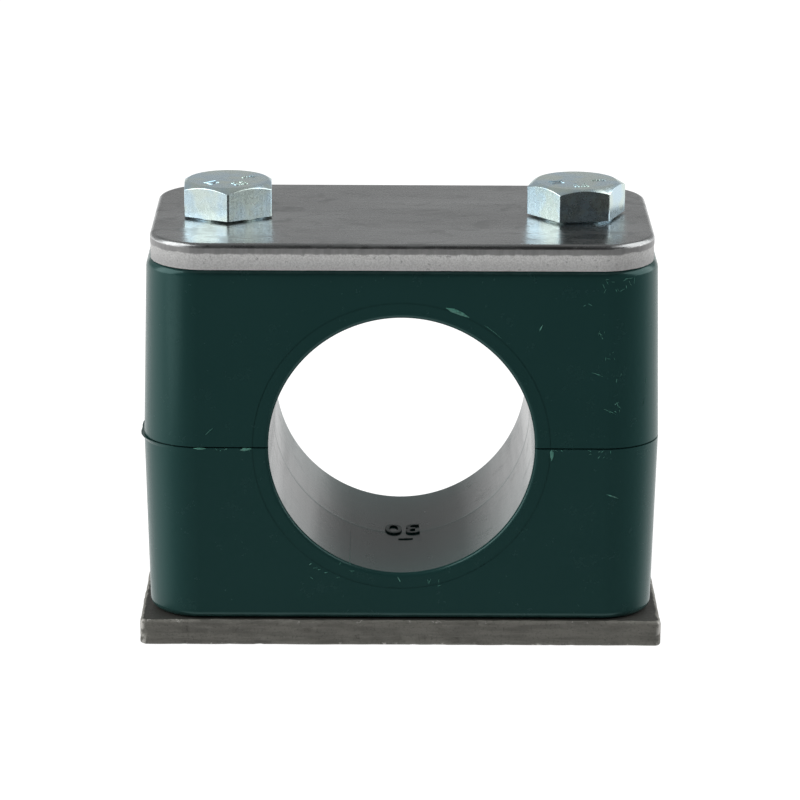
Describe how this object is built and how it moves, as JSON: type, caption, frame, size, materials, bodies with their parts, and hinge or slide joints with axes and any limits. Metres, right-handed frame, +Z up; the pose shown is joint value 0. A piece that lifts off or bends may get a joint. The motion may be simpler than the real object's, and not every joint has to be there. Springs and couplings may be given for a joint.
{
  "type": "tube clamp",
  "caption": "Single tube clamp: two moulded plastic halves around a round bore, bolted between a cover plate and a weld plate.",
  "frame": {"origin": "centre of the weld plate's underside, where the clamp stands on its mounting surface", "axes": "+X along the row of the two bolts, +Y along the bore of the held tube, +Z up from the weld plate to the bolt heads"},
  "size_m": [0.06, 0.03, 0.0514],
  "materials": {
    "moulded_halves": "semi-gloss dark green polypropylene",
    "cover_steel": "rolled and oiled steel, sheared bright at the edge",
    "weld_steel": "matte phosphated steel, dark grey-brown",
    "zinc": "blue-white zinc plate"
  },
  "bodies": {
    "base": {"weld_plate": "weld_steel", "clamp_half_lower": "moulded_halves"},
    "cap": {"clamp_half_upper": "moulded_halves", "cover_plate": "cover_steel"},
    "left_bolt": {"bolt_left": "zinc"},
    "right_bolt": {"bolt_right": "zinc"}
  },
  "joints": [
    {"name": "cap_lift", "type": "slide", "parent": "base", "child": "cap", "axis": [0, 0, 1], "range_m": [0, 0.004]},
    {"name": "left_bolt_turn", "type": "hinge", "parent": "cap", "child": "left_bolt", "pos_m": [-0.02, 0, 0.0474], "axis": [0, 0, 1], "range_deg": [0, 1440]},
    {"name": "right_bolt_turn", "type": "hinge", "parent": "cap", "child": "right_bolt", "pos_m": [0.02, 0, 0.0474], "axis": [0, 0, 1], "range_deg": [0, 1440]}
  ],
  "couplings": [
    {"joint": "left_bolt_turn", "follows": "cap_lift", "rad_per_m": 6283.2},
    {"joint": "right_bolt_turn", "follows": "cap_lift", "rad_per_m": 6283.2}
  ]
}
